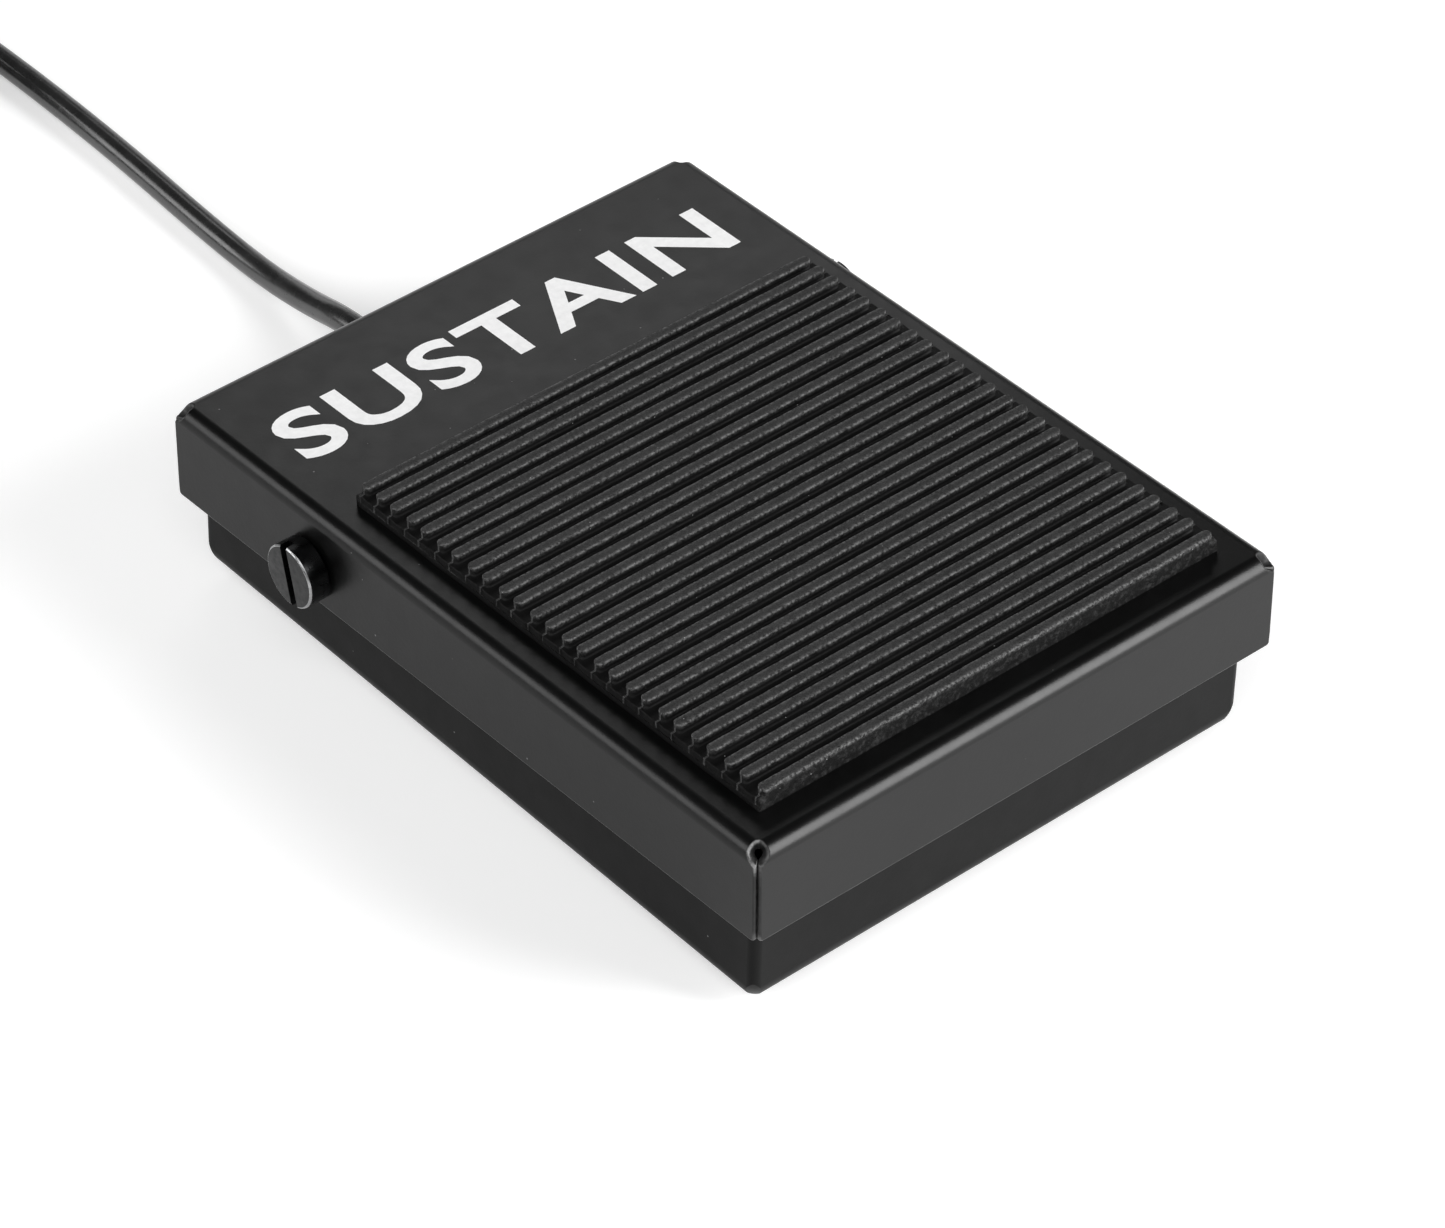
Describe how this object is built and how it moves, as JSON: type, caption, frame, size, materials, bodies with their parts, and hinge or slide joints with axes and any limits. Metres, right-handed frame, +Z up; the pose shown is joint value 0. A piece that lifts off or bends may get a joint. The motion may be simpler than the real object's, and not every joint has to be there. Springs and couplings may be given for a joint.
{
  "type": "sustain pedal",
  "caption": "Compact black steel sustain pedal: a ribbed foot plate hinged on a shallow tray, sprung, with an inner switch and a lead ending in a jack plug.",
  "frame": {"origin": "bottom centre of the pedal's own box, on the floor; the lead, coil and plug are not counted", "axes": "+Z up, -Y towards the toe end, +Y towards the heel, where the lead leaves, +X to the player's right"},
  "size_m": [0.1006, 0.2365, 0.0281],
  "materials": {
    "cover_paint": "satin black powder coat with a very fine texture",
    "tray_paint": "satin black powder coat, a little darker and flatter than the cover",
    "tread_rubber": "black ribbed rubber, grey and dusty on the rib tops, rough along its cut edges",
    "mat_rubber": "matt black grooved rubber",
    "screw_steel": "blackened steel, worn to grey metal on the face",
    "nylon": "natural nylon",
    "zinc_steel": "bright zinc plate",
    "spring_steel": "plain spring steel",
    "bumper_rubber": "matt black rubber",
    "switch_body": "moulded black plastic",
    "switch_plunger": "moulded red plastic",
    "brass_tag": "plain brass",
    "soft_black": "soft black moulding",
    "cord_black": "satin black jacket",
    "lead_red": "red wire insulation",
    "lead_white": "white wire insulation",
    "solder": "bright solder",
    "tie_fabric": "black woven hook-and-loop strap",
    "plug_black": "moulded black plastic",
    "plug_metal": "bright nickel plate"
  },
  "bodies": {
    "root": {"base_tray": "tray_paint", "base_mat": "mat_rubber", "pivot_screw_left": "screw_steel", "pivot_screw_right": "screw_steel", "pivot_spacer_left": "nylon", "pivot_spacer_right": "nylon", "pivot_nut_left": "zinc_steel", "pivot_nut_right": "zinc_steel", "return_spring": "spring_steel", "spring_seat": "nylon", "stop_bumpers": "bumper_rubber", "bumper_screws": "zinc_steel", "rest_stop_pad": "bumper_rubber", "switch_case": "switch_body", "switch_base": "switch_body", "switch_terminals": "brass_tag", "switch_blade": "brass_tag", "switch_bracket": "zinc_steel", "bracket_screws": "zinc_steel", "switch_screws": "zinc_steel", "switch_nuts": "zinc_steel", "cable_clamp": "nylon", "clamp_screw": "zinc_steel", "strain_relief": "soft_black", "inner_cable": "cord_black", "lead_common": "lead_red", "lead_open": "lead_white", "solder_joints": "solder", "cable_lead": "cord_black", "cable_coil": "cord_black", "cable_end": "cord_black", "coil_tie": "tie_fabric", "plug_boot": "soft_black", "plug_body": "plug_black", "plug_sleeve": "plug_metal", "plug_insulator": "plug_black", "plug_tip": "plug_metal"},
    "pedal": {"pedal_cover": "cover_paint", "tread_pad": "tread_rubber", "spring_cup": "zinc_steel", "actuator_button": "nylon"},
    "lever": {"switch_lever": "spring_steel"},
    "plunger": {"switch_plunger": "switch_plunger"}
  },
  "joints": [
    {"name": "pedal_hinge", "type": "hinge", "parent": "root", "child": "pedal", "pos_m": [0, 0.02457, 0.016], "axis": [1, 0, 0], "range_deg": [0, 5], "stiffness_Nm_per_rad": 6, "springref_deg": -3.44, "deforming": ["return_spring"]},
    {"name": "lever_hinge", "type": "hinge", "parent": "root", "child": "lever", "pos_m": [0.016, 0.017, 0.0156], "axis": [1, 0, 0], "range_deg": [0, 7.5]},
    {"name": "plunger_slide", "type": "slide", "parent": "root", "child": "plunger", "axis": [0, 0, -1], "range_m": [0, 0.0005]}
  ],
  "couplings": [
    {"joint": "lever_hinge", "follows": "pedal_hinge", "ratio": 1.48},
    {"joint": "plunger_slide", "follows": "pedal_hinge", "m_per_rad": 0.0052}
  ]
}
